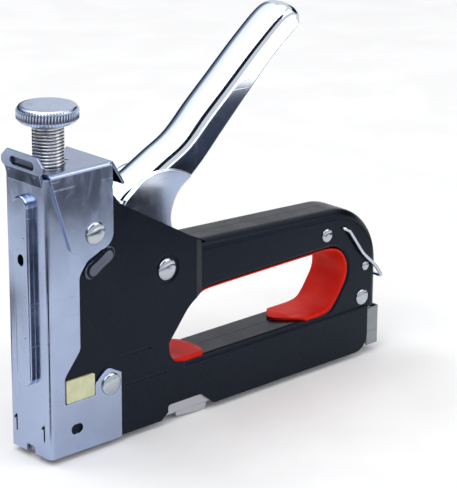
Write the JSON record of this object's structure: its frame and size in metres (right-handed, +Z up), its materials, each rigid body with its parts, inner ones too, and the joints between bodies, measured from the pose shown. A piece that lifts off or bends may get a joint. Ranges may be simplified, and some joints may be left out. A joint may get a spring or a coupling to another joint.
{
  "type": "staple gun",
  "caption": "Manual staple gun with a squeeze handle above a closed grip, a screw-set driving spring, a chromed nose and a pull-out staple magazine.",
  "frame": {"origin": "where the staple leaves: front face of the nose, mid width, level with the foot", "axes": "+X back along the grip, +Y across the tool, +Z up along the nose"},
  "size_m": [0.1836, 0.0294, 0.1578],
  "materials": {
    "black_paint": "satin black",
    "nose_chrome": "polished plating",
    "handle_chrome": "polished plating",
    "bright_rivet": "bright",
    "plated_screw": "bright",
    "plain_steel": "plain",
    "hard_steel": "hardened",
    "spring_steel": "drawn wire",
    "rail_steel": "plated",
    "red_plastic": "moulded",
    "nylon": "translucent"
  },
  "bodies": {
    "frame": {"left_shell": "black_paint", "right_shell": "black_paint", "nose_cover": "nose_chrome", "nose_cap": "nose_chrome", "cap_nut": "plated_screw", "bumper_block": "nylon", "handle_pivot": "bright_rivet", "cap_rivet": "bright_rivet", "foot_rivet": "bright_rivet", "grip_rivet": "bright_rivet", "heel_rivet": "bright_rivet", "grip_pin": "bright_rivet", "body_spacers": "plain_steel", "grip_liner": "red_plastic", "staple_guide": "plain_steel", "main_spring": "spring_steel"},
    "handle_group": {"handle": "handle_chrome", "lift_lever": "plain_steel", "lever_rivet": "bright_rivet"},
    "striker_group": {"striker": "hard_steel", "driver_blade": "hard_steel"},
    "seat": {"spring_seat": "plain_steel"},
    "screw": {"adjusting_screw": "plated_screw"},
    "magazine": {"magazine_rail": "rail_steel", "staple_core": "plain_steel", "pusher_rod": "plain_steel", "pusher_spring": "spring_steel", "magazine_end": "plain_steel", "latch_pin": "plain_steel", "latch_spring": "spring_steel"},
    "pusher_group": {"pusher": "plain_steel"},
    "latch": {"rear_latch": "rail_steel"},
    "bail": {"wire_bail": "spring_steel"}
  },
  "joints": [
    {"name": "handle_squeeze", "type": "hinge", "parent": "frame", "child": "handle_group", "pos_m": [0.0593, 0, 0.0618], "axis": [0, 1, 0], "range_deg": [0, 44], "stiffness_Nm_per_rad": 8, "springref_deg": -8.59},
    {"name": "striker_lift", "type": "slide", "parent": "frame", "child": "striker_group", "axis": [0, 0, 1], "range_m": [0, 0.02215], "deforming": ["main_spring"]},
    {"name": "seat_travel", "type": "slide", "parent": "frame", "child": "seat", "axis": [0, 0, -1], "range_m": [0, 0.00625]},
    {"name": "screw_turn", "type": "hinge", "parent": "seat", "child": "screw", "pos_m": [0.0112, 0, 0.12], "axis": [0, 0, -1], "range_deg": [0, 1800]},
    {"name": "magazine_slide", "type": "slide", "parent": "frame", "child": "magazine", "axis": [1, 0, 0], "range_m": [0, 0.115]},
    {"name": "pusher_slide", "type": "slide", "parent": "magazine", "child": "pusher_group", "axis": [1, 0, 0], "range_m": [0, 0.1], "stiffness_N_per_m": 30, "springref_m": -0.1, "deforming": ["pusher_spring"]},
    {"name": "latch_press", "type": "hinge", "parent": "magazine", "child": "latch", "pos_m": [0.171, 0, 0.012], "axis": [0, -1, 0], "range_deg": [0, 6.5], "stiffness_Nm_per_rad": 0.4, "springref_deg": -11.46, "deforming": ["latch_spring"]},
    {"name": "bail_swing", "type": "hinge", "parent": "frame", "child": "bail", "pos_m": [0.157, 0, 0.0566], "axis": [0, -1, 0], "range_deg": [0, 112]}
  ],
  "couplings": [
    {"joint": "striker_lift", "follows": "handle_squeeze", "m_per_rad": 0.02871},
    {"joint": "screw_turn", "follows": "seat_travel", "rad_per_m": 5026.5}
  ]
}
